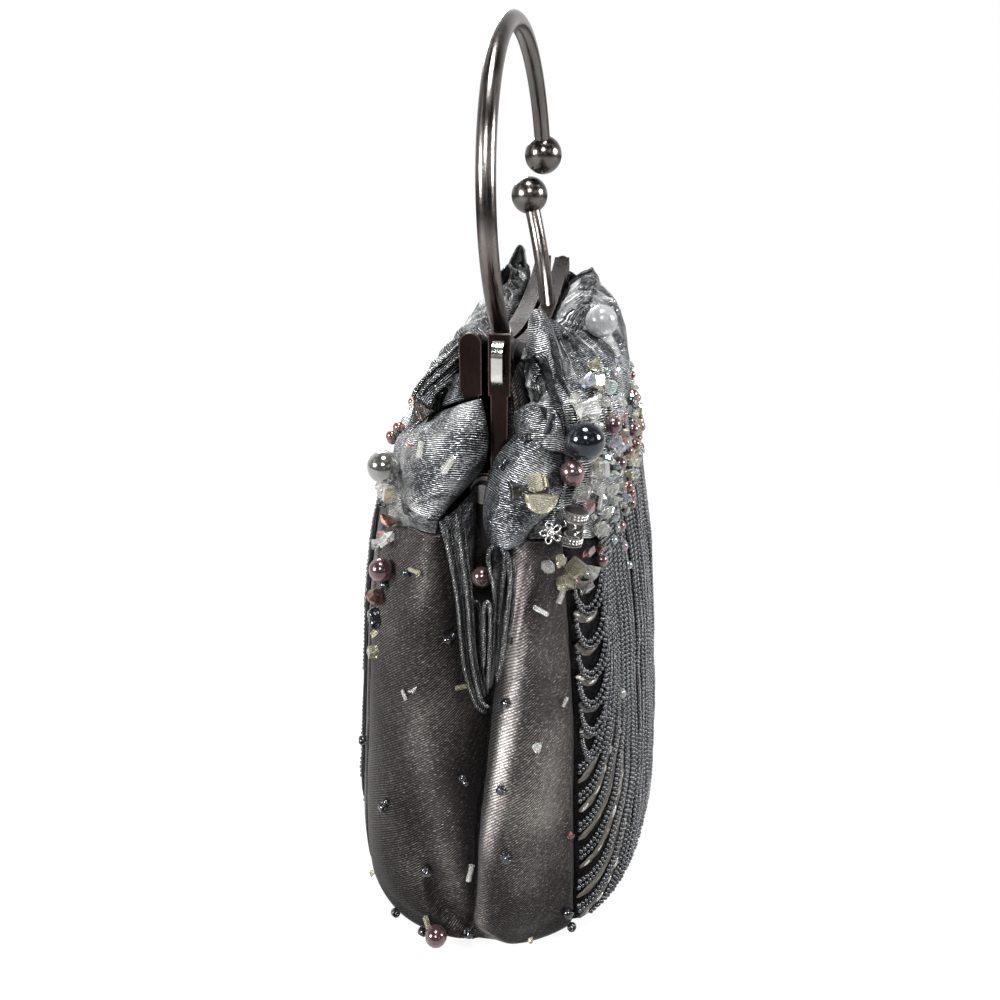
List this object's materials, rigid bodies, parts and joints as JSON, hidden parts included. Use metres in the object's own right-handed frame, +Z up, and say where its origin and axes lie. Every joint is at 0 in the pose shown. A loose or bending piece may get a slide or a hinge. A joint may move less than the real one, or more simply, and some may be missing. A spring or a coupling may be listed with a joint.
{
  "type": "evening clutch",
  "caption": "Soft evening bag on a two-half hinged metal frame, with ribbon ruffles, beaded panels and an open hoop handle whose ball ends snap past each other to close it.",
  "frame": {"origin": "centre of the flat base that the bag stands on", "axes": "+Z up, X along the frame with the pictured end at -X, -Y the front beaded panel"},
  "size_m": [0.182, 0.0966, 0.237],
  "materials": {
    "satin": "charcoal satin",
    "end_satin": "charcoal satin with a fine diagonal weave",
    "lining": "dark lining cloth",
    "board": "stiff board",
    "bead_field": "dark seed beads and bugles sewn close together",
    "ribbon": "silvery ribbed metallic ribbon",
    "frame_metal": "satin gunmetal",
    "handle_metal": "satin gunmetal",
    "loop_metal": "bright silver",
    "rivet_metal": "gunmetal",
    "washer": "plain plastic",
    "strap": "folded tape",
    "pearl": "pearly gunmetal and mauve",
    "crystal": "clear cut crystal",
    "seed": "black glass",
    "filigree": "silver filigree",
    "frosted": "frosted grey with fine glitter"
  },
  "bodies": {
    "bag": {"front_panel": "satin", "back_panel": "satin", "gusset_near": "end_satin", "gusset_far": "end_satin", "bottom_panel": "satin", "base_board": "board", "lining": "lining", "front_bead_field": "bead_field", "back_bead_field": "bead_field", "ribbon_tail": "ribbon", "satin_beads": "seed", "hinge_strap_near": "strap", "hinge_strap_far": "strap", "hinge_washer_near": "washer", "hinge_washer_far": "washer", "hinge_rivet_near": "rivet_metal", "hinge_rivet_far": "rivet_metal"},
    "front_half": {"front_frame": "frame_metal", "handle_short_arc": "handle_metal", "handle_lower_ball": "handle_metal", "handle_collar_front": "handle_metal", "chain_loop_near": "loop_metal", "front_yoke": "satin", "front_ruffle": "ribbon", "front_pearls": "pearl", "front_crystals": "crystal", "filigree_bead": "filigree", "frosted_bead": "frosted"},
    "back_half": {"back_frame": "frame_metal", "handle_long_arc": "handle_metal", "handle_upper_ball": "handle_metal", "handle_collar_back": "handle_metal", "chain_loop_far": "loop_metal", "back_yoke": "satin", "back_ruffle": "ribbon", "back_pearls": "pearl", "back_crystals": "crystal"}
  },
  "joints": [
    {"name": "front_open", "type": "hinge", "parent": "bag", "child": "front_half", "pos_m": [0, 0, 0.127], "axis": [1, 0, 0], "range_deg": [0, 35]},
    {"name": "back_open", "type": "hinge", "parent": "bag", "child": "back_half", "pos_m": [0, 0, 0.127], "axis": [-1, 0, 0], "range_deg": [0, 35]}
  ],
  "couplings": [
    {"joint": "back_open", "follows": "front_open", "ratio": 1}
  ]
}
